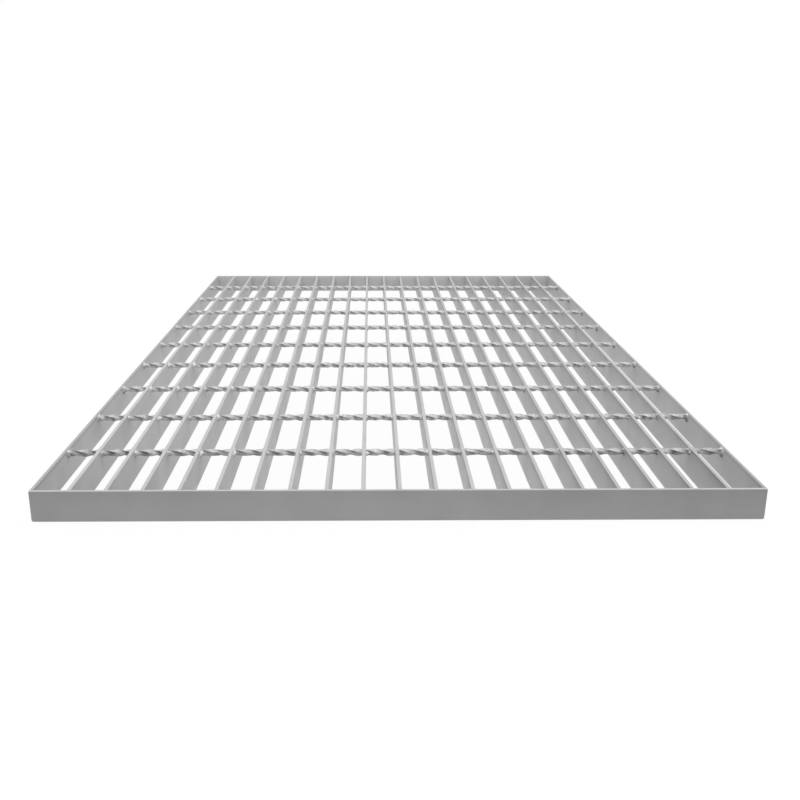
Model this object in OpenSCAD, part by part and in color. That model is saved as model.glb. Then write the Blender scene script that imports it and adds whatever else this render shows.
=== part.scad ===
// Steel floor-grating panel: flat bearing bars on edge, twisted square cross rods
// forge-welded into their tops, and flat bands round the four sides.
// Origin: middle of the underside. +X across the width, +Y along the bearing bars, +Z up.

/* [Bearing bars] */
// Spaces between one side band and the other
bar_spaces = 20; // [6:1:30]
// Distance between the centres of neighbouring bars
bar_pitch = 30; // [20:0.5:50]
// Thickness of a bearing bar
bar_t = 3; // [2:0.5:6]
// Depth of a bearing bar, which is the height of the panel
bar_h = 27; // [20:1:60]
// Length of the panel over its end bands
panel_len = 995; // [300:1:1500]

/* [Cross rods] */
// Number of cross rods
rod_count = 9; // [1:1:14]
// Distance between the centres of neighbouring cross rods
rod_pitch = 100; // [30:1:120]
// Side of the square bar that the rods are twisted from
rod_side = 5; // [3:0.1:7]
// Length of rod in one full turn of the twist
rod_lead = 58.5; // [40:0.5:120]
// Turn of the twist at the middle of the panel, in degrees
rod_phase = -28; // [-45:1:45]
// How far the rods' corners stay below the tops of the bars
rod_drop = 0.3; // [0.1:0.1:3]

/* [Bands] */
// Thickness of the two end bands
end_band_t = 3; // [2:0.5:8]
// Thickness of the two side bands
side_band_t = 3; // [2:0.5:8]
// Radius of the lower corners of the end bands
band_corner_r = 2; // [0.5:0.1:4]

/* [Hidden] */
$fn = 48;

// Flats of the twisted rods: steps of turn in one full twist
twist_steps = 12;

// Centre line of the side bands, and the faces that the mat butts against
side_x = bar_spaces * bar_pitch / 2;
panel_w = 2 * side_x + side_band_t;
inner_x = side_x - side_band_t / 2;
inner_y = panel_len / 2 - end_band_t;

// Rods: half the diagonal of the square sets the height of their axis
rod_axis_z = bar_h - rod_drop - rod_side / sqrt(2);
rod_turn = 360 * 2 * inner_x / rod_lead;
rod_slices = ceil(rod_turn * twist_steps / 360);

// A flat standing on edge, centred on x and y
module flat_bar(length_x, length_y) {
    translate([-length_x / 2, -length_y / 2, 0])
        cube([length_x, length_y, bar_h]);
}

// One square rod along X with a right-handed twist, reaching both side bands
module twisted_rod() {
    translate([-inner_x, 0, rod_axis_z])
        rotate([0, 90, 0])
            linear_extrude(height = 2 * inner_x, twist = -rod_turn, slices = rod_slices, segments = 4)
                rotate(rod_phase - rod_turn / 2)
                    square(rod_side, center = true);
}

// Inner bearing bars and cross rods, fused at every crossing
module bar_mat() {
    color("lightslategray")
        union() {
            for (i = [1 : bar_spaces - 1])
                translate([i * bar_pitch - side_x, 0, 0])
                    flat_bar(bar_t, 2 * inner_y);
            for (k = [0 : rod_count - 1])
                translate([0, (k - (rod_count - 1) / 2) * rod_pitch, 0])
                    twisted_rod();
        }
}

// Flat across the whole width, with its two lower corners eased
module end_band() {
    color("slategray")
        rotate([90, 0, 0])
            linear_extrude(height = end_band_t, center = true)
                intersection() {
                    translate([-panel_w / 2, 0])
                        square([panel_w, bar_h]);
                    union() {
                        translate([-panel_w / 2, band_corner_r])
                            square([panel_w, bar_h]);
                        for (s = [-1, 1])
                            translate([s * (panel_w / 2 - band_corner_r), band_corner_r])
                                circle(band_corner_r);
                        translate([band_corner_r - panel_w / 2, 0])
                            square([panel_w - 2 * band_corner_r, bar_h]);
                    }
                }
}

module front_band() {
    translate([0, -inner_y - end_band_t / 2, 0])
        end_band();
}

module back_band() {
    translate([0, inner_y + end_band_t / 2, 0])
        end_band();
}

// Flat between the end bands, closing the rods' ends
module side_band(side) {
    color("slategray")
        translate([side * side_x, 0, 0])
            flat_bar(side_band_t, 2 * inner_y);
}

module left_band() {
    side_band(-1);
}

module right_band() {
    side_band(1);
}

bar_mat();
front_band();
back_band();
left_band();
right_band();
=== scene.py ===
from math import radians

import bpy
import numpy as np
from mathutils import Matrix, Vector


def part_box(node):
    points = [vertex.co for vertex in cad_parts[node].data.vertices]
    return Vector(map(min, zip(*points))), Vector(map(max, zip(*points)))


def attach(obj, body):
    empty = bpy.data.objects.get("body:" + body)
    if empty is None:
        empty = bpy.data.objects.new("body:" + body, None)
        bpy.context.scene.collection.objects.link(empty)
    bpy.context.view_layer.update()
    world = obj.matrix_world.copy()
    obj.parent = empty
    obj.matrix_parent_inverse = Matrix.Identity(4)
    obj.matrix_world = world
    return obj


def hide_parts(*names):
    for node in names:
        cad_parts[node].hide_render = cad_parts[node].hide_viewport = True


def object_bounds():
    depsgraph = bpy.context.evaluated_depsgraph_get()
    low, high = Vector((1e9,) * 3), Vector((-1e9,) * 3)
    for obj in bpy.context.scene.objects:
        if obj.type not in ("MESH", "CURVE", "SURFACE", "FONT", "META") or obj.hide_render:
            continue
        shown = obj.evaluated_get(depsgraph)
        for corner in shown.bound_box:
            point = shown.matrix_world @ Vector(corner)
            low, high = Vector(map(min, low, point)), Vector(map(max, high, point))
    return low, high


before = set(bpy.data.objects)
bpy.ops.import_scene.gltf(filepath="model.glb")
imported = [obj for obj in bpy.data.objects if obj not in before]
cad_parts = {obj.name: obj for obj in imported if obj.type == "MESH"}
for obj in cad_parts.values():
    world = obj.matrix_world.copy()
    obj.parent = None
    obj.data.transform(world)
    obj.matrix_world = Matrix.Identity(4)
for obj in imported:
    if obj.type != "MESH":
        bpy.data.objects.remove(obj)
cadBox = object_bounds()

mesh30 = {
    "spaces": 20,        # openings between one side band and the other
    "barThick": 0.003,
    "rods": 9,
    "rodPitch": 0.100,
    "rodSide": 0.005,    # side of the square that is twisted
    "rodLead": 0.0585,   # length of one full turn
    "rodPhase": -28.0,   # degrees at the middle of the panel
    "rodDrop": 0.0003,   # the rods' corners stay this far below the bars' tops
}

matLow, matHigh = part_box("bar_mat")
leftLow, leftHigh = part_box("left_band")
rightLow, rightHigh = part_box("right_band")
topZ = matHigh.z
sideX = (rightLow.x + rightHigh.x) / 2
barPitch = 2 * sideX / mesh30["spaces"]
barX = np.arange(1, mesh30["spaces"]) * barPitch - sideX
rodY = (np.arange(mesh30["rods"]) - (mesh30["rods"] - 1) / 2) * mesh30["rodPitch"]
rodZ = topZ - mesh30["rodDrop"] - mesh30["rodSide"] / np.sqrt(2)
clearTop = topZ - 0.0002    # nothing at the rods or in the seams rises higher than this
hair = 0.0001               # metres that don't count when two places are compared
dice = np.random.default_rng(30100)


def gridQuads(rows, cols):
    # Joins neighbouring points of a grid into quads; the last column meets the first.
    row, col = np.meshgrid(np.arange(rows - 1), np.arange(cols), indexing="ij")
    ahead = (col + 1) % cols
    quads = np.stack([row * cols + col, row * cols + ahead,
                      (row + 1) * cols + ahead, (row + 1) * cols + col], axis=-1)
    return quads.reshape(-1, 4)


def tubePiece(name, tubes, replaced=()):
    # tubes holds count x rings x points: each is a skin of rings, closed by a flat face at both ends.
    count, rows, cols = tubes.shape[:3]
    first = np.arange(count)[:, None] * rows * cols
    quads = (gridQuads(rows, cols)[None] + first[:, :, None]).reshape(-1, 4)
    startCap = first + np.arange(cols)[::-1]
    endCap = first + (rows - 1) * cols + np.arange(cols)
    mesh = bpy.data.meshes.new(name)
    mesh.from_pydata(tubes.reshape(-1, 3).tolist(), [],
                     quads.tolist() + startCap.tolist() + endCap.tolist())
    mesh.shade_smooth()
    mesh.set_sharp_from_angle(angle=radians(55))
    piece = bpy.data.objects.new(name, mesh)
    bpy.context.scene.collection.objects.link(piece)
    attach(piece, "root")
    if replaced:
        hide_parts(*replaced)
    return piece


def paint(piece, darkness):
    # Stores how dark the zinc is at every point, for its material: its own tone together with painted
    # shade and painted light.
    layer = piece.data.attributes.new("dullZincAndShade", "FLOAT", "POINT")
    layer.data.foreach_set("value", np.clip(darkness, 0, 1).astype(np.float32).ravel())


def roundedOutline(width, height, radius, support):
    # Rectangle with quarter-circle corners in three steps, anticlockwise from its right side; one more
    # point on each straight side next to every corner keeps the flats flat under smooth shading.
    turn = np.linspace(0, np.pi / 2, 4)
    arc = np.stack([np.cos(turn), np.sin(turn)], axis=-1) * radius
    corner = np.vstack([[[radius, -support]], arc, [[-support, radius]]])
    out = []
    for quarter in range(4):
        spin = quarter * np.pi / 2
        turned = corner @ np.array([[np.cos(spin), np.sin(spin)], [-np.sin(spin), np.cos(spin)]])
        signX = 1 if quarter in (0, 3) else -1
        signY = 1 if quarter in (0, 1) else -1
        out.append(turned + [signX * (width / 2 - radius), signY * (height / 2 - radius)])
    return np.vstack(out)


def facePoints(outline, depths, bothFaces=False):
    # Adds points to the outline's left side at these depths under its top, for the paint there, and
    # where both faces need them the same points to its right side.
    width, height = outline.max(axis=0)
    down = np.column_stack([np.full(len(depths), -width), height - np.array(depths)])
    outline = np.insert(outline, len(outline) // 2, down, axis=0)
    return np.vstack([down[::-1] * [-1, 1], outline]) if bothFaces else outline


def wander(along, count, lengths):
    # Three sine waves of random phase and of a random length between the two lengths, for each of
    # count pieces, together within -1 to 1.
    total = 0
    for share in (0.5, 0.3, 0.2):
        length = dice.uniform(*lengths, (count, 1))
        total = total + share * np.sin(2 * np.pi * along[None] / length + dice.uniform(0, 6.3, (count, 1)))
    return total


def evenly(pair, share):
    # Goes evenly from the first to the second value as the share goes from 0 to 1.
    return pair[0] * (1 - share) + pair[1] * share


zincTone = {
    "dullest": 0.08,        # brightness of the zinc where the paint says 1; the rest is from 0 to 1
    "plain": 0.18,          # on beads and on the end bands' tops
    "nearFront": 0.07,      # more on upright faces at the front of the panel's middle line
    "outward": 0.13,        # more again there towards the sides
    "frontReach": 0.20,     # metres in which both die away towards the back
    "nearBack": 0.09,       # more at the back
    "backReach": 0.08,
}


def faceDarkness(x, y):
    # Upright faces are darkest at the panel's front and sides, least dark in its middle, and a little
    # darker again at the back: exponentials of the distances to the front and the back.
    atFront = zincTone["nearFront"] + zincTone["outward"] * np.abs(x) / sideX
    fromFront = (y - matLow.y) / zincTone["frontReach"]
    fromBack = (matHigh.y - y) / zincTone["backReach"]
    return atFront * np.exp(-fromFront) + zincTone["nearBack"] * np.exp(-fromBack)


bars = {
    "coat": 0.00012,        # zinc on each side
    "edgeRadius": 0.0004,   # edges softened by zinc
    "support": 0.0002,      # from the rounding to the point that keeps the flat beside it flat
    "facePoints": (0.0018, 0.004, 0.010),   # depths of the left faces' own points
    "ringsAtRod": (-10, -6, -4, -2, 0, 2, 4, 6, 10, 30, 50),    # millimetres behind each rod
    "ringsAtEnd": 0.03,     # metres from the bar's end to its last ring but one
    "swell": 0.0005,        # widening where a rod is pressed in, at most
    "swellLeast": 0.3,      # share of that at the least widened crossing
    "swellReach": 0.0040,
    "swellBelow": 0.006,    # where it begins, under the rods' axis
    "swellRise": 0.004,     # height in which it grows to the full
    "bow": 0.00025,         # sideways wander along the bar
    "bowLength": (0.5, 1.1),
    "edgeShade": 0.40,      # painted shade: how much darker the zinc is under the upper edge of their left faces
    "shadeDepth": 0.0070,
    "edgeLine": 0.16,       # more painted shade right under that edge
    "lineDepth": 0.0013,
    "shadeStray": 0.2,      # share by which both rise and fall along the bar
    "shadeLength": (0.03, 0.12),
    "rightFace": 0.05,      # painted shade: how much darker their right faces are than the plain left ones
    "toRight": 0.06,        # painted shade: how much darker the faces get from the middle to the right
    # painted shade: the tops are darker than the faces, against the light from above
    "topShade": 0.155,
    "lastTops": 0.16,       # painted shade: how much darker the tops at the right are, at the front
    "lastFrom": 0.6,        # share of the bars, from the left, where that begins
    "lastOver": 0.25,       # share of the bars in which it grows to the full
    "topSlope": 0.10,       # painted shade: how much darker those tops' right edges are than their left ones
    "backTops": 0.12,       # painted shade: how much darker all tops are at the back
    "backFrom": 0.2,        # share of the way to the back where that begins
}


def bearingBars():
    # A rounded flat carried along Y: it wanders sideways by slow sines, and its upper part widens
    # by a bell curve of the distance to each rod.
    thick = mesh30["barThick"] + 2 * bars["coat"]
    outline = facePoints(roundedOutline(thick, topZ, bars["edgeRadius"], bars["support"]),
                         bars["facePoints"])
    heights = outline[:, 1] + topZ / 2
    atRods = (rodY[:, None] + np.array(bars["ringsAtRod"]) * 0.001).ravel()
    atRods = atRods[(atRods > matLow.y) & (atRods < matHigh.y)]
    atEnds = [matLow.y, matLow.y + bars["ringsAtEnd"], matHigh.y - bars["ringsAtEnd"], matHigh.y]
    along = np.unique(np.concatenate([atEnds, atRods]))
    count = len(barX)
    gap = (along[:, None] - rodY) / bars["swellReach"]
    pressed = dice.uniform(bars["swellLeast"], 1.0, (count, 1, len(rodY)))
    bell = (np.exp(-gap ** 2)[None] * pressed).sum(axis=2)
    upper = np.clip((heights - (rodZ - bars["swellBelow"])) / bars["swellRise"], 0, 1)
    x = outline[:, 0] + np.sign(outline[:, 0]) * bars["swell"] * bell[:, :, None] * upper
    x = x + (bars["bow"] * wander(along, count, bars["bowLength"]))[:, :, None] + barX[:, None, None]
    y = np.broadcast_to(along[None, :, None], x.shape)
    z = np.broadcast_to(heights, x.shape)
    tubes = np.stack([x, y, z], axis=-1)
    piece = tubePiece("bearingBars", tubes[:, ::-1], ["bar_mat"])
    # Painted shade: on the left faces a darkness falls off exponentially with the depth under the upper
    # edge. At the front the tops are painted darker by a smooth step from left to right, and all tops are
    # painted darker on the way to the back.
    onTop = heights > topZ - hair
    onLeft = (outline[:, 0] < hair - thick / 2) & ~onTop
    edgeShaded = bars["edgeShade"] * np.exp((heights - topZ) / bars["shadeDepth"])
    edgeShaded += bars["edgeLine"] * np.exp((heights - topZ) / bars["lineDepth"])
    amount = 1 - bars["shadeStray"] + bars["shadeStray"] * wander(along, count, bars["shadeLength"])
    face = faceDarkness(barX[:, None], along) + bars["toRight"] * np.clip(barX / sideX, 0, 1)[:, None]
    face = face[:, :, None] + bars["rightFace"] * (outline[:, 0] > 0)
    face = face + amount[:, :, None] * edgeShaded * onLeft
    step = np.clip((np.arange(count) / (count - 1) - bars["lastFrom"]) / bars["lastOver"], 0, 1)
    step = (step ** 2 * (3 - 2 * step))[:, None, None]
    toBack = ((along - matLow.y) / (matHigh.y - matLow.y))[None, :, None]
    slope = bars["topSlope"] * np.clip(outline[:, 0] / thick, -0.5, 0.5)
    top = bars["backTops"] * np.clip((toBack - bars["backFrom"]) / (1 - bars["backFrom"]), 0, 1)
    top = bars["topShade"] + top + step * (bars["lastTops"] * (1 - toBack) + slope)
    paint(piece, np.where(onTop, top, face)[:, ::-1])
    return piece


def angleBell(angle, middle, width):
    # Bell curve of how far an angle in radians is from a middle in degrees.
    away = np.angle(np.exp(1j * (angle - radians(middle))))
    return np.exp(-(away / radians(width)) ** 2)


rods = {
    "squareness": 9,        # power of the superellipse that rounds the square's corners
    "hollow": 0.12,         # share by which twisting draws in the middles of the faces
    "slimness": 0.97,       # of the rounded section, against the plain square
    "lift": 0.0003,         # brings the rounded edges back up to the square's corners
    "points": 24,           # round the rod
    "ringStep": 0.0016,
    "lumps": 0.10,          # share by which zinc thickens and thins the rod
    "lumpLength": (0.0035, 0.015),
    "rootSwell": 0.10,      # share by which a rod is thicker where it enters a bar
    "rootReach": 0.0045,
    # painted shade in grooves beside the twisted edges, standing in for their shadows; degrees go round
    # from the back over the top
    "grooveTurn": 16.0,     # degrees from an edge to the groove beside it
    "grooveWidth": 11.0,
    "grooveShade": 0.9,
    "grooveStray": 0.6,     # how far that rises and falls along the rod
    "grooveLength": (0.005, 0.022),
    "notchAt": 152.0,       # where the painted shade in the grooves is darkest, as notches
    "notchRight": 11.0,     # degrees by which the notches lie lower at the right and higher at the left
    "notchWidth": 34.0,
    "notchLeast": 0.06,     # how dark the grooves' painted shade is far from there, against the notches
    "lastTurn": 14.0,       # degrees by which the notches lie lower on the last rod, at the back
    "midShare": 0.75,       # how dark the notches are in the rods' middles, against their ends
    "lastShare": 0.72,      # how dark the last rod's painted shade is, against the first
    # painted shade on the sides and undersides, on the first rod and on the last
    "sideShade": (0.45, 0.40),
    "sideFrom": (0.50, 0.12),   # height where they begin, as a sine
    "sideSoft": 0.09,
    # the whole rod
    "outerDull": 0.10,      # how much duller all rods are at their ends than in their middles
    "outerPower": 0.8,      # of the distance from the middle, by which they get so
    "frontOuter": 0.14,     # more again on the front rods
    "frontReach": 0.12,
    "specks": 0.10,         # how far the dullness strays from point to point
}


def crossRods():
    # A superellipse with hollow faces that turns evenly along X, a right-handed twist of one lead per
    # turn. Its size varies by random sines and grows by a bell curve of the distance to the next bar.
    around = np.linspace(0, 2 * np.pi, rods["points"], endpoint=False)
    power = rods["squareness"]
    radius = (np.abs(np.cos(around)) ** power + np.abs(np.sin(around)) ** power) ** (-1 / power)
    radius = radius * mesh30["rodSide"] / 2 * (1 - rods["hollow"] * (1 + np.cos(4 * around)) / 2)
    outline = np.stack([radius * np.cos(around), radius * np.sin(around)], axis=-1)
    rings = int((matHigh.x - matLow.x) / rods["ringStep"]) + 1
    along = np.linspace(matLow.x, matHigh.x, rings)
    turn = np.radians(mesh30["rodPhase"]) + 2 * np.pi * along / mesh30["rodLead"]
    nearest = np.abs(along[:, None] - barX).min(axis=1)
    root = rods["rootSwell"] * np.exp(-(nearest / rods["rootReach"]) ** 2)
    size = rods["slimness"] + root[None] + rods["lumps"] * wander(along, len(rodY), rods["lumpLength"])
    across = outline[:, 0] * np.cos(turn)[:, None] - outline[:, 1] * np.sin(turn)[:, None]
    upward = outline[:, 0] * np.sin(turn)[:, None] + outline[:, 1] * np.cos(turn)[:, None]
    y = across[None] * size[:, :, None] + rodY[:, None, None]
    z = np.minimum(upward[None] * size[:, :, None] + rodZ + rods["lift"], clearTop)
    x = np.broadcast_to(along[None, :, None], y.shape)
    piece = tubePiece("crossRods", np.stack([x, y, z], axis=-1), ["bar_mat"])
    # Painted shade lies beside each twisted edge, by a bell curve of the angle past it, darkest in
    # notches, by a bell curve of the angle round the rod's axis. Painted shade on the sides and undersides
    # comes by a soft step of that angle's sine, and the rods get darker towards the ends by a power of the
    # distance.
    past = (around - radians(rods["grooveTurn"])) % (np.pi / 2) - np.pi / 4
    groove = np.exp(-(past / radians(rods["grooveWidth"])) ** 2)
    facing = (around[None] + turn[:, None])[None]
    share = np.linspace(0, 1, len(rodY))[:, None, None]
    lower = np.radians(rods["lastTurn"] * share + rods["notchRight"] * along[:, None] / sideX)
    bell = angleBell(facing - lower, rods["notchAt"], rods["notchWidth"])
    notch = rods["notchLeast"] + (1 - rods["notchLeast"]) * bell
    aboveEdge = np.sin(facing) - evenly(rods["sideFrom"], share)
    sides = evenly(rods["sideShade"], share) / (1 + np.exp(aboveEdge / rods["sideSoft"]))
    amount = rods["grooveShade"] + rods["grooveStray"] * wander(along, len(rodY), rods["grooveLength"])
    amount *= np.linspace(1, rods["lastShare"], len(rodY))[:, None]
    fromFront = np.exp((rodY[0] - rodY) / rods["frontReach"])
    outward = np.abs(along / sideX) ** rods["outerPower"]
    notch = notch * (rods["midShare"] + (1 - rods["midShare"]) * outward)[:, None]
    outer = (rods["outerDull"] + rods["frontOuter"] * fromFront)[:, None] * outward
    specks = rods["specks"] * dice.standard_normal(y.shape)
    paint(piece, amount[:, :, None] * (groove * notch + sides) + outer[:, :, None] + specks)
    return piece


bands = {
    "edgeRadius": 0.0005,
    "support": 0.0003,      # from the rounding to the point that keeps the flat beside it flat
    # end bands
    "lowerCorner": 0.002,
    "cornerRings": (0.0008, 0.0012, 0.0016, 0.002, 0.004),  # metres from each end
    "plainFrom": 0.02,      # metres from each end where the evenly spaced rings begin
    "plainRings": 40,
    "frontDullAndFloorLight": (0.50, 0.59),  # of the front band's faces, at the lower and the upper edge; the lower edge is lighter as painted light from the floor
    "backDull": (0.06, 0.06),
    "outerDull": 0.05,      # how much duller both are at their ends
    "toRight": 0.015,       # and how much duller at the right end than in the middle
    "topLip": 0.0002,       # the rounding down to here is as bright as the top
    # side bands, the left and the right one
    "sideRings": 60,
    "facePoints": (0.002, 0.005),   # depths of their faces' own points
    "sideTops": (0.39, 0.44),
    "sideFaces": (0.03, 0.07),  # how much duller their faces are than the bars'
    "edgeLine": 0.30,       # more painted shade right under their upper edge
    "lineDepth": 0.0020,
}


def endBand(name, node, faceDull):
    # A rounded flat carried along X; its last rings draw in on a quarter circle, and its lower
    # edge rises on another at both ends.
    low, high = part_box(node)
    radius, corner = bands["edgeRadius"], bands["lowerCorner"]
    outline = roundedOutline(high.y - low.y, high.z - low.z, radius, bands["support"])
    halfSize = np.array([(high.y - low.y) / 2, (high.z - low.z) / 2])
    middle = np.array([(low.y + high.y) / 2, (low.z + high.z) / 2])
    turn = np.linspace(0, np.pi / 2, 4)
    edge = np.concatenate([radius * (1 - np.cos(turn)), bands["cornerRings"]])
    inset = np.concatenate([radius * (1 - np.sin(turn)), np.zeros(len(bands["cornerRings"]))])
    between = np.linspace(low.x + bands["plainFrom"], high.x - bands["plainFrom"], bands["plainRings"])
    along = np.concatenate([low.x + edge, between, (high.x - edge)[::-1]])
    draw = np.concatenate([inset, 0 * between, inset[::-1]])
    ring = outline[None] * (1 - draw[:, None, None] / halfSize) + middle
    fromEnd = np.minimum(along - low.x, high.x - along)
    rise = corner - np.sqrt(corner ** 2 - np.clip(corner - fromEnd, 0, corner) ** 2)
    z = np.maximum(ring[..., 1], low.z + rise[:, None] * (outline[:, 1] < 0))
    x = np.broadcast_to(along[:, None], z.shape)
    tube = np.stack([x, ring[..., 0], z], axis=-1)[None]
    piece = tubePiece(name, tube, [node])
    # The faces' darkness goes evenly from the lower to the upper edge, which on the front band is painted
    # floor light at the lower edge, and from left to right, and grows with the square of the distance from
    # the middle.
    onFace = outline[:, 1] < halfSize[1] - bands["topLip"]
    face = evenly(faceDull, (z - low.z) / (high.z - low.z))
    face = face + bands["outerDull"] * (x / sideX) ** 2 + bands["toRight"] * x / sideX
    paint(piece, np.where(onFace, face, zincTone["plain"]))
    return piece


def sideBand(name, node, which):
    # A rounded flat carried along Y, between the end bands; which is 0 for the left one, 1 for the right.
    low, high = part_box(node)
    outline = roundedOutline(high.x - low.x, high.z - low.z, bands["edgeRadius"], bands["support"])
    outline = facePoints(outline, bands["facePoints"], bothFaces=True)
    along = np.linspace(low.y, high.y, bands["sideRings"])
    x = np.broadcast_to(outline[:, 0] + (low.x + high.x) / 2, (len(along), len(outline)))
    z = np.broadcast_to(outline[:, 1] + (low.z + high.z) / 2, x.shape)
    y = np.broadcast_to(along[:, None], x.shape)
    tube = np.stack([x, y, z], axis=-1)[None]
    piece = tubePiece(name, tube[:, ::-1], [node])
    # A line of painted shade under the upper edge dies away exponentially with the depth.
    line = bands["edgeLine"] * np.exp((z - high.z) / bands["lineDepth"])
    face = faceDarkness(x, y) + line + bands["sideFaces"][which]
    paint(piece, np.where(z > high.z - hair, bands["sideTops"][which], face)[::-1])
    return piece


welds = {
    # collars round the rods; where there are two numbers, each collar gets its own between them
    "flashRadius": 0.0040,  # flash round a rod, against the bar's face
    "flashReach": 0.0022,   # how far it spreads along the rod
    "flashSags": 0.08,      # share of the collars that hang lower underneath
    "endRadius": 0.0048,    # weld round a rod's end, against the side band
    "endReach": 0.0036,
    "endSags": 0.7,
    "rings": 5,
    "points": 12,
    "core": 0.45,           # radius in which they end, against the rod's side
    "radiusSpread": (0.75, 1.1),
    "reachSpread": (0.7, 1.4),
    "fallOff": 1.5,         # power by which the radius falls
    "fullerFallOff": 1.0,   # of the fuller ones
    "fullerReach": 1.35,    # by how much further those reach
    "twoLobes": 0.15,
    "threeLobes": 0.12,
    "knob": (0.1, 0.7),
    "knobAt": (2.5, 3.3),   # radians round from the back over the top
    "knobWidth": 23.0,
    "sag": (0.2, 0.6),
    "sunk": 0.0004,         # how deep they start in the bar
    "astray": 0.0005,       # how far they lie off the rod's line, at most
    "leastShade": 0.1,       # painted shade at the height of the rods' axis
    "leftShade": 0.2,        # more painted shade on the left of a bar
    # upright beads where bars and side bands meet the end bands
    "seamRadius": 0.0012,
    "cornerRadius": 0.0022,
    "beadRings": 9,
    "beadPoints": 8,
    "beadStray": 0.25,      # share by which a bead thickens and thins
    "beadLength": (0.3, 0.9),   # share of its height in which it does
    "beadFoot": 0.0008,     # height of its lower end
}


def collars(name, faceX, rodLine, facing, radius, reach, sagging, fuller=False):
    # Lumpy collars round a rod: the radius falls from the face outwards by a power, varies round the rod
    # by two sines, has one knob shaped as a bell curve of the angle, and on some of them hangs lower
    # underneath. The fuller ones fall off more evenly and reach further. facing is 1 on a face that
    # looks to the right and -1 on one that looks to the left.
    rings = np.linspace(0, 1, welds["rings"])
    around = np.linspace(0, 2 * np.pi, welds["points"], endpoint=False)
    count = len(faceX)
    lump = 1 + welds["twoLobes"] * np.sin(2 * around + dice.uniform(0, 6.3, (count, 1)))
    lump += welds["threeLobes"] * np.sin(3 * around + dice.uniform(0, 6.3, (count, 1)))
    knob = angleBell(around - dice.uniform(*welds["knobAt"], (count, 1)), 0.0, welds["knobWidth"])
    lump += dice.uniform(*welds["knob"], (count, 1)) * knob
    sag = np.where(dice.random((count, 1)) < sagging, dice.uniform(*welds["sag"], (count, 1)), 0.0)
    lump += sag * np.clip(-np.sin(around), 0, 1) ** 3
    base = radius * dice.uniform(*welds["radiusSpread"], (count, 1, 1)) * lump[:, None]
    core = mesh30["rodSide"] * welds["core"]
    fuller = np.broadcast_to(fuller, count)[:, None, None]
    power = np.where(fuller, welds["fullerFallOff"], welds["fallOff"])
    out = core + (base - core) * (1 - rings)[None, :, None] ** power
    length = reach * dice.uniform(*welds["reachSpread"], (count, 1, 1))
    length = length * np.where(fuller, welds["fullerReach"], 1)
    x = faceX[:, None, None] + facing[:, None, None] * (length * rings[None, :, None] - welds["sunk"])
    aside = dice.uniform(-welds["astray"], welds["astray"], (count, 1, 1))
    y = rodLine[:, None, None] + out * np.cos(around) + aside
    z = np.minimum(rodZ + out * np.sin(around), clearTop)
    tubes = np.stack([np.broadcast_to(x, y.shape), y, z], axis=-1)
    toLeft = facing < 0
    tubes[toLeft] = tubes[toLeft][:, ::-1]
    piece = tubePiece(name, tubes)
    # Painted shade: the further a point lies below the rod's axis, the darker it is.
    darkness = (rodZ - tubes[..., 2]) / mesh30["rodSide"] + welds["leastShade"]
    paint(piece, darkness + welds["leftShade"] * toLeft[:, None, None])
    return piece


def crossingFlash():
    # One collar on each side of every crossing, fuller on the right of the bars in the left half.
    centre, line, facing = (a.ravel() for a in np.meshgrid(barX, rodY, [-1.0, 1.0], indexing="ij"))
    face = centre + facing * mesh30["barThick"] / 2
    return collars("crossingFlash", face, line, facing, welds["flashRadius"], welds["flashReach"],
                   welds["flashSags"], fuller=(facing > 0) & (centre < 0))


def rodEndWelds():
    # One collar at each end of every rod.
    line = np.concatenate([rodY, rodY])
    facing = np.repeat([1.0, -1.0], len(rodY))
    face = np.repeat([leftHigh.x, rightLow.x], len(rodY))
    return collars("rodEndWelds", face, line, facing, welds["endRadius"], welds["endReach"],
                   welds["endSags"])


def uprightBeads(name, centreX, centreY, radius):
    # Upright beads: a tube whose radius wanders on the way up and draws in at both ends, by the root
    # of one minus a high power of the distance from its middle.
    share = np.linspace(0, 1, welds["beadRings"])
    around = np.linspace(0, 2 * np.pi, welds["beadPoints"], endpoint=False)
    size = radius * (1 + welds["beadStray"] * wander(share, len(centreX), welds["beadLength"]))
    size = size * np.sqrt(np.clip(1 - (2 * share - 1) ** 8, 0.05, 1))
    x = centreX[:, None, None] + size[:, :, None] * np.cos(around)
    y = centreY[:, None, None] + size[:, :, None] * np.sin(around)
    z = welds["beadFoot"] + (clearTop - welds["beadFoot"]) * share
    tubes = np.stack([x, y, np.broadcast_to(z[None, :, None], x.shape)], axis=-1)
    piece = tubePiece(name, tubes)
    paint(piece, np.full(x.shape, zincTone["plain"]))
    return piece


def barEndSeams():
    # One bead on each side of every bar's end.
    centre, line, facing = np.meshgrid(barX, [matLow.y, matHigh.y], [-1.0, 1.0], indexing="ij")
    face = centre + facing * mesh30["barThick"] / 2
    return uprightBeads("barEndSeams", face.ravel(), line.ravel(), welds["seamRadius"])


def cornerBeads():
    # One bead in each of the panel's inner corners.
    x, y = np.meshgrid([leftHigh.x, rightLow.x], [leftLow.y, leftHigh.y], indexing="ij")
    return uprightBeads("cornerBeads", x.ravel(), y.ravel(), welds["cornerRadius"])


print("frame loaded")
pieces = [bearingBars(), crossRods(), crossingFlash(), rodEndWelds(), barEndSeams()]
print("bars, rods and welds made")
pieces += [
    endBand("frontFlat", "front_band", bands["frontDullAndFloorLight"]),
    endBand("backFlat", "back_band", bands["backDull"]),
    sideBand("leftFlat", "left_band", 0),
    sideBand("rightFlat", "right_band", 1),
    cornerBeads(),
]
print("bands made")


def mathNode(nodes, links, operation, *values):
    # A Math node that is fed by numbers and by other nodes' sockets.
    node = nodes.new("ShaderNodeMath")
    node.operation = operation
    for socket, value in zip(node.inputs, values):
        if isinstance(value, float):
            socket.default_value = value
        else:
            links.new(value, socket)
    return node


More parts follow.
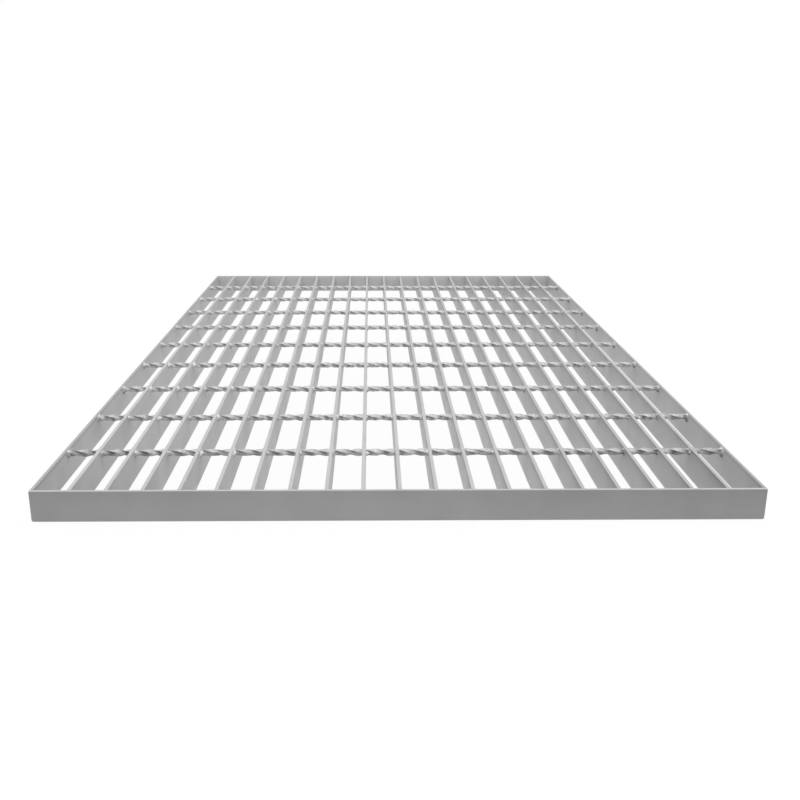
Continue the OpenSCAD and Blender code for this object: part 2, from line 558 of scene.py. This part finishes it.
def zincSkinGroup():
    # Cloudy zinc and fine grain, blended into one value that mixes the light and the dark zinc, and
    # sets gloss and relief. A Mix node's sockets go by number: 0 is the factor, 2 and 3 are its
    # numbers, 6 and 7 its colours.
    group = bpy.data.node_groups.new("zincSkin", "ShaderNodeTree")
    socket = group.interface.new_socket
    socket("Vector", in_out="INPUT", socket_type="NodeSocketVector")
    socket("Light Zinc", in_out="INPUT", socket_type="NodeSocketColor")
    socket("Dark Zinc", in_out="INPUT", socket_type="NodeSocketColor")
    for label, value in (("Cloud Scale", 30.0), ("Grain Scale", 900.0), ("Grain Share", 0.25),
                         ("Contrast", 2.0), ("Roughness", 0.5)):
        socket(label, in_out="INPUT", socket_type="NodeSocketFloat").default_value = value
    socket("Colour", in_out="OUTPUT", socket_type="NodeSocketColor")
    socket("Roughness", in_out="OUTPUT", socket_type="NodeSocketFloat")
    socket("Height", in_out="OUTPUT", socket_type="NodeSocketFloat")
    nodes, links = group.nodes, group.links
    into = nodes.new("NodeGroupInput")
    out = nodes.new("NodeGroupOutput")

    cloud = nodes.new("ShaderNodeTexNoise")
    cloud.inputs["Detail"].default_value = 4
    links.new(into.outputs["Vector"], cloud.inputs["Vector"])
    links.new(into.outputs["Cloud Scale"], cloud.inputs["Scale"])

    grain = nodes.new("ShaderNodeTexNoise")
    grain.inputs["Detail"].default_value = 2
    links.new(into.outputs["Vector"], grain.inputs["Vector"])
    links.new(into.outputs["Grain Scale"], grain.inputs["Scale"])

    blend = nodes.new("ShaderNodeMix")
    blend.data_type = "FLOAT"
    links.new(into.outputs["Grain Share"], blend.inputs[0])
    links.new(cloud.outputs["Fac"], blend.inputs[2])
    links.new(grain.outputs["Fac"], blend.inputs[3])

    # the value minus a half, times the contrast, plus a half
    centred = mathNode(nodes, links, "SUBTRACT", blend.outputs[0], 0.5)
    stretched = mathNode(nodes, links, "MULTIPLY_ADD", centred.outputs[0], into.outputs["Contrast"], 0.5)
    stretched.use_clamp = True

    tint = nodes.new("ShaderNodeMix")
    tint.data_type = "RGBA"
    links.new(stretched.outputs[0], tint.inputs[0])
    links.new(into.outputs["Light Zinc"], tint.inputs[6])
    links.new(into.outputs["Dark Zinc"], tint.inputs[7])
    links.new(tint.outputs[2], out.inputs["Colour"])

    # the dark zinc is rougher by a tenth
    gloss = mathNode(nodes, links, "MULTIPLY_ADD", stretched.outputs[0], 0.1, into.outputs["Roughness"])
    links.new(gloss.outputs[0], out.inputs["Roughness"])
    links.new(blend.outputs[0], out.inputs["Height"])
    return group


zincFinishes = {
    # light zinc, dark zinc, metallic, roughness, cloud scale, depth of the relief
    "barZinc": (0.79, 0.66, 0.25, 0.48, 26.0, 0.00008),
    # the rods and the welds are lighter and more finely clouded than the bars, as painted highlights and
    # glints
    "rodZincAndGlints": (0.92, 0.52, 0.30, 0.30, 420.0, 0.0007),
    "flashZincAndGlints": (1.00, 0.72, 0.30, 0.30, 420.0, 0.0007),
}


def zincMaterial(name, group):
    # The zinc skin, mixed towards the dullest zinc by the painted darkness, which holds painted shade and
    # painted light as well as the zinc's own tone.
    light, dark, metallic, roughness, cloudScale, relief = zincFinishes[name]
    dullest = zincTone["dullest"]
    material = bpy.data.materials.new(name)
    material.use_nodes = True
    nodes, links = material.node_tree.nodes, material.node_tree.links
    shader = nodes["Principled BSDF"]
    shader.inputs["Metallic"].default_value = metallic
    where = nodes.new("ShaderNodeTexCoord")
    skin = nodes.new("ShaderNodeGroup")
    skin.node_tree = group
    links.new(where.outputs["Object"], skin.inputs["Vector"])
    # both with a touch of blue
    skin.inputs["Light Zinc"].default_value = (light, light, light * 1.01, 1)
    skin.inputs["Dark Zinc"].default_value = (dark, dark, dark * 1.01, 1)
    skin.inputs["Roughness"].default_value = roughness
    skin.inputs["Cloud Scale"].default_value = cloudScale
    dullAndShade = nodes.new("ShaderNodeAttribute")
    dullAndShade.attribute_name = "dullZincAndShade"
    darker = nodes.new("ShaderNodeMix")
    darker.data_type = "RGBA"
    darker.inputs[7].default_value = (dullest, dullest, dullest, 1)
    links.new(dullAndShade.outputs["Fac"], darker.inputs[0])
    links.new(skin.outputs["Colour"], darker.inputs[6])
    links.new(darker.outputs[2], shader.inputs["Base Color"])
    links.new(skin.outputs["Roughness"], shader.inputs["Roughness"])
    bump = nodes.new("ShaderNodeBump")
    bump.inputs["Distance"].default_value = relief
    links.new(skin.outputs["Height"], bump.inputs["Height"])
    links.new(bump.outputs["Normal"], shader.inputs["Normal"])
    return material


zincSkin = zincSkinGroup()
finishOf = {"crossRods": "rodZincAndGlints", "crossingFlash": "flashZincAndGlints", "rodEndWelds": "rodZincAndGlints"}
made = {name: zincMaterial(name, zincSkin) for name in zincFinishes}
for piece in pieces:
    piece.data.materials.append(made[finishOf.get(piece.name, "barZinc")])
print("zinc finishes assigned")


studio = {
    "floorReach": 40.0,
    "floorColour": 0.8,
    "floorWhite": 0.90,     # share of plain white that a look at the floor shows
    "whiteStrength": 1.045,
    "skyLight": 0.27,
    "lampSpread": 75.0,     # degrees across
    # of the wide lamps: strength, and the direction that each shines from
    "leftLamp": (0.80, (-0.64, 0.30, 0.70)),
    "rightLamp": (0.94, (0.64, 0.30, 0.70)),
    "frontLamp": (0.78, (0.0, -0.88, 0.48)),
}


def seenWhite(nodes, links):
    # 1 for a look straight at the surface, in a reflection or through glass, and 0 for its light.
    path = nodes.new("ShaderNodeLightPath").outputs
    both = mathNode(nodes, links, "MAXIMUM", path["Is Camera Ray"], path["Is Glossy Ray"])
    return mathNode(nodes, links, "MAXIMUM", both.outputs[0], path["Is Transmission Ray"]).outputs[0]


def mixedShaders(nodes, links, factor, first, second):
    # The first shader where the factor is 0, and the second where it is 1.
    mix = nodes.new("ShaderNodeMixShader")
    links.new(factor, mix.inputs["Fac"])
    links.new(first.outputs[0], mix.inputs[1])
    links.new(second.outputs[0], mix.inputs[2])
    return mix.outputs[0]


def floor():
    # A wide matt floor, pale in its light and near white to look at.
    reach, tone = studio["floorReach"], studio["floorColour"]
    mesh = bpy.data.meshes.new("floor")
    mesh.from_pydata([(-reach, -reach, 0), (reach, -reach, 0), (reach, reach, 0), (-reach, reach, 0)],
                     [], [(0, 1, 2, 3)])
    ground = bpy.data.objects.new("floor", mesh)
    bpy.context.scene.collection.objects.link(ground)
    material = bpy.data.materials.new("paleFloor")
    material.use_nodes = True
    nodes, links = material.node_tree.nodes, material.node_tree.links
    nodes.clear()
    matt = nodes.new("ShaderNodeBsdfDiffuse")
    matt.inputs["Color"].default_value = (tone, tone, tone, 1)
    white = nodes.new("ShaderNodeEmission")
    white.inputs["Strength"].default_value = studio["whiteStrength"]
    share = mathNode(nodes, links, "MULTIPLY", seenWhite(nodes, links), studio["floorWhite"])
    out = nodes.new("ShaderNodeOutputMaterial")
    links.new(mixedShaders(nodes, links, share.outputs[0], matt, white), out.inputs["Surface"])
    mesh.materials.append(material)


def sky():
    # Even light from all round, white to look at.
    world = bpy.data.worlds.new("studioSky")
    bpy.context.scene.world = world
    world.use_nodes = True
    nodes, links = world.node_tree.nodes, world.node_tree.links
    nodes.clear()
    plain = nodes.new("ShaderNodeBackground")
    plain.inputs["Strength"].default_value = studio["skyLight"]
    white = nodes.new("ShaderNodeBackground")
    for light in (plain, white):
        light.inputs["Color"].default_value = (1, 1, 1, 1)
    out = nodes.new("ShaderNodeOutputWorld")
    links.new(mixedShaders(nodes, links, seenWhite(nodes, links), plain, white), out.inputs["Surface"])


def wideLamp(name):
    # Even light from a wide patch of sky, so that the floor is as bright far off as close by.
    lamp = bpy.data.lights.new(name, "SUN")
    lamp.energy, direction = studio[name]
    lamp.angle = radians(studio["lampSpread"])
    holder = bpy.data.objects.new(name, lamp)
    holder.location = direction
    holder.rotation_euler = holder.location.to_track_quat("Z", "Y").to_euler()
    bpy.context.scene.collection.objects.link(holder)


view = {
    "lens": 42.50,
    "shiftAcross": 0.02,
    "pitchDown": 17.52,      # degrees, like the next two
    "turnRight": 0.84,
    "roll": 0.14,
    "beforeFront": 0.7109,   # metres in front of the front band
    "aboveTop": 0.3016,
    "besideMiddle": -0.0237,
}


def camera():
    # Looks towards the back, tipped down, turned and rolled, from a place measured from the CAD box.
    low, high = cadBox
    eye = bpy.data.cameras.new("camera")
    eye.lens = view["lens"]
    eye.shift_x = view["shiftAcross"]
    holder = bpy.data.objects.new("camera", eye)
    aim = Matrix.Rotation(radians(-view["turnRight"]), 4, "Z")
    aim = aim @ Matrix.Rotation(radians(90 - view["pitchDown"]), 4, "X")
    aim = aim @ Matrix.Rotation(radians(view["roll"]), 4, "Z")
    place = (view["besideMiddle"], low.y - view["beforeFront"], high.z + view["aboveTop"])
    holder.matrix_world = Matrix.Translation(place) @ aim
    bpy.context.scene.collection.objects.link(holder)
    bpy.context.scene.camera = holder


floor()
sky()
for lampName in ("leftLamp", "rightLamp", "frontLamp"):
    wideLamp(lampName)
camera()
bpy.context.scene.view_settings.view_transform = "Standard"
print("floor, light and camera set")
